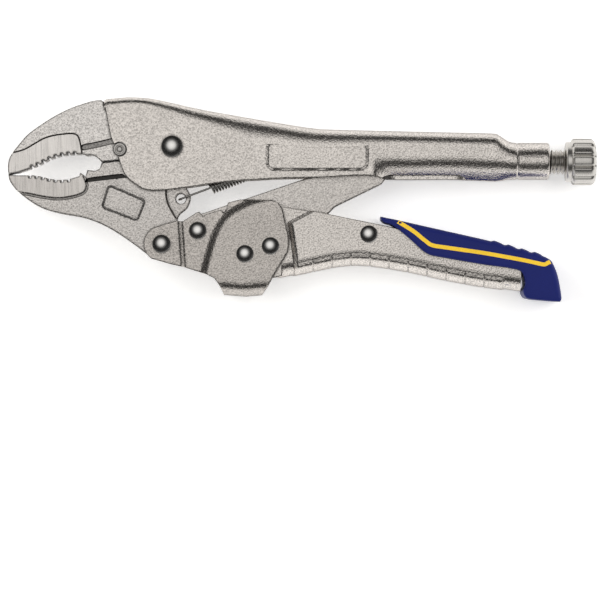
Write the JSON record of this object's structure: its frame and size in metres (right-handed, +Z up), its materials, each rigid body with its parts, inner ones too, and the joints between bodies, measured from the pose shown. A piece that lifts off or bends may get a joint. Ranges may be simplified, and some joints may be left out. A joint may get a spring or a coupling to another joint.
{
  "type": "locking pliers",
  "caption": "Curved-jaw locking pliers with wire cutter, toggle link, screw adjustment and lever-free release; jaws, handle, link, release and screw move.",
  "frame": {"origin": "under the middle of the whole tool, on the surface that it lies on", "axes": "+X from the jaw tips to the adjusting knob, +Y from the moving handle to the fixed handle, +Z up along every pivot"},
  "size_m": [0.2543, 0.0886, 0.0225],
  "materials": {
    "plate_steel": "satin nickel plate with a fine blasted grain",
    "jaw_steel": "satin nickel plate, ground at the teeth",
    "rivet_steel": "polished domes",
    "dark_steel": "plain turned steel",
    "spring_steel": "dark drawn wire",
    "screw_steel": "satin nickel plate on a turned thread and a fluted knob",
    "grip_blue": "fine-textured navy soft plastic",
    "stripe_yellow": "inlaid yellow soft plastic"
  },
  "bodies": {
    "fixed_side": {"fixed_handle": "plate_steel", "upper_jaw": "jaw_steel", "jaw_pin": "dark_steel", "main_rivet": "rivet_steel", "spring_post": "dark_steel", "return_spring": "spring_steel"},
    "jaw": {"lower_jaw": "jaw_steel"},
    "bracket_side": {"bracket": "plate_steel", "front_rivet": "rivet_steel", "link_rivet": "rivet_steel", "release_rivet": "rivet_steel", "stop_rivet": "rivet_steel"},
    "toggle_link": {"link": "plate_steel"},
    "lever": {"rear_handle": "plate_steel", "release_pin": "dark_steel", "grip_rivet": "rivet_steel", "grip_core": "grip_blue", "grip_body": "grip_blue", "grip_stripe": "stripe_yellow"},
    "screw": {"adjusting_screw": "screw_steel"},
    "knob": {"screw_knob": "screw_steel"}
  },
  "joints": [
    {"name": "knob_turn", "type": "hinge", "parent": "screw", "child": "knob", "pos_m": [0.11415, 0.01645, 0.01125], "axis": [1, 0, 0], "range_deg": [0, 4322]},
    {"name": "screw_travel", "type": "slide", "parent": "fixed_side", "child": "screw", "axis": [1, 0, 0], "range_m": [0, 0.02177]},
    {"name": "jaw_open", "type": "hinge", "parent": "fixed_side", "child": "jaw", "pos_m": [-0.05605, 0.02285, 0.01125], "axis": [0, 0, 1], "range_deg": [0, 7.05], "deforming": ["return_spring"]},
    {"name": "handle_open", "type": "hinge", "parent": "jaw", "child": "bracket_side", "pos_m": [-0.06065, -0.01925, 0.01125], "axis": [0, 0, -1], "range_deg": [0, 50]},
    {"name": "link_swing", "type": "hinge", "parent": "bracket_side", "child": "toggle_link", "pos_m": [-0.04495, -0.01355, 0.01125], "axis": [0, 0, 1], "range_deg": [0, 51.4]},
    {"name": "release", "type": "hinge", "parent": "bracket_side", "child": "lever", "pos_m": [-0.02455, -0.02355, 0.01125], "axis": [0, 0, -1], "range_deg": [0, 5]}
  ],
  "couplings": [
    {"joint": "knob_turn", "follows": "screw_travel", "rad_per_m": 3463.7},
    {"joint": "jaw_open", "follows": "handle_open", "ratio": 0.14},
    {"joint": "link_swing", "follows": "handle_open", "ratio": 1.026}
  ]
}
